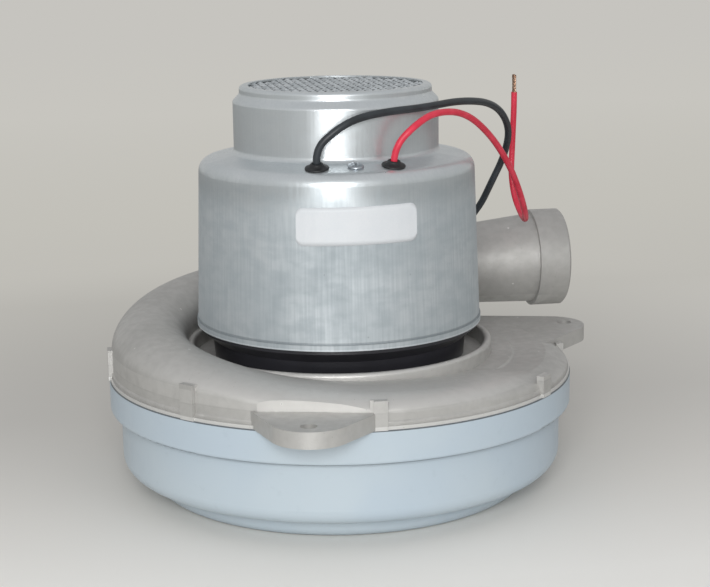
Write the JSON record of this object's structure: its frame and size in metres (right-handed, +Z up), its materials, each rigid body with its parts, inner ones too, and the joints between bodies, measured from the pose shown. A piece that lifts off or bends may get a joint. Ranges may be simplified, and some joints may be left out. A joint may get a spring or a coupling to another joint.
{
  "type": "vacuum motor unit",
  "caption": "By-pass vacuum motor: fan stack in a stepped steel cup, cast volute with side discharge horn and lugs, permanent-magnet motor under a drawn can, two flying leads.",
  "frame": {"origin": "centre of the air inlet in the flat base of the fan shell", "axes": "+Z up the shaft towards the cooling fan, +X out of the discharge horn, which lies behind the shaft at +Y"},
  "size_m": [0.2381, 0.2391, 0.1842],
  "materials": {
    "shell_paint": "satin",
    "cast_aluminium": "matt",
    "galvanised_steel": "satin",
    "black_plastic": "matt",
    "sheet_aluminium": "satin",
    "bright_steel": "satin",
    "zinc_plated_steel": "bright",
    "bearing_steel": "polished",
    "lamination_steel": "matt",
    "enamelled_copper": "gloss",
    "copper": "satin",
    "brass": "satin",
    "carbon": "matt",
    "ferrite": "matt",
    "phenolic_board": "satin",
    "black_rubber": "matt",
    "black_insulation": "satin",
    "red_insulation": "satin",
    "spring_steel": "bright"
  },
  "bodies": {
    "housing": {"fan_shell": "shell_paint", "stationary_fan_1": "sheet_aluminium", "stationary_fan_2": "sheet_aluminium", "exhaust_casting": "cast_aluminium", "bearing_retainer": "zinc_plated_steel", "retainer_screws": "zinc_plated_steel", "lower_bearing_outer": "bearing_steel", "upper_bearing_outer": "bearing_steel", "field_yoke": "zinc_plated_steel", "field_magnets": "ferrite", "magnet_clips": "spring_steel", "commutator_bracket": "cast_aluminium", "through_bolts": "zinc_plated_steel", "brush_plate": "phenolic_board", "brush_holders": "brass", "brush_caps": "brass", "spring_left": "spring_steel", "spring_right": "spring_steel", "inner_lead_black": "black_insulation", "inner_lead_red": "red_insulation", "support_ring": "black_plastic", "motor_cover": "galvanised_steel", "top_screen": "galvanised_steel", "cover_screws": "zinc_plated_steel", "lead_grommets": "black_rubber", "lead_black": "black_insulation", "lead_red": "red_insulation", "lead_ends": "copper"},
    "rotor": {"shaft": "bright_steel", "impeller_1": "sheet_aluminium", "impeller_2": "sheet_aluminium", "impeller_3": "sheet_aluminium", "spacer_1": "bright_steel", "spacer_2": "bright_steel", "spacer_3": "bright_steel", "fan_washer": "zinc_plated_steel", "fan_nut": "zinc_plated_steel", "lower_bearing_inner": "bearing_steel", "upper_bearing_inner": "bearing_steel", "armature_core": "lamination_steel", "armature_winding": "enamelled_copper", "commutator": "copper", "cooling_fan": "galvanised_steel", "fan_clip": "spring_steel"},
    "brush_l": {"brush_left": "carbon"},
    "brush_r": {"brush_right": "carbon"}
  },
  "joints": [
    {"name": "rotor_spin", "type": "hinge", "parent": "housing", "child": "rotor", "pos_m": [0, 0, 0.1], "axis": [0, 0, 1], "continuous": true},
    {"name": "brush_right_slide", "type": "slide", "parent": "housing", "child": "brush_r", "axis": [1, 0, 0], "range_m": [0, 0.006], "stiffness_N_per_m": 150, "springref_m": -0.02, "deforming": ["spring_right"]},
    {"name": "brush_left_slide", "type": "slide", "parent": "housing", "child": "brush_l", "axis": [-1, 0, 0], "range_m": [0, 0.006], "stiffness_N_per_m": 150, "springref_m": -0.02, "deforming": ["spring_left"]}
  ]
}
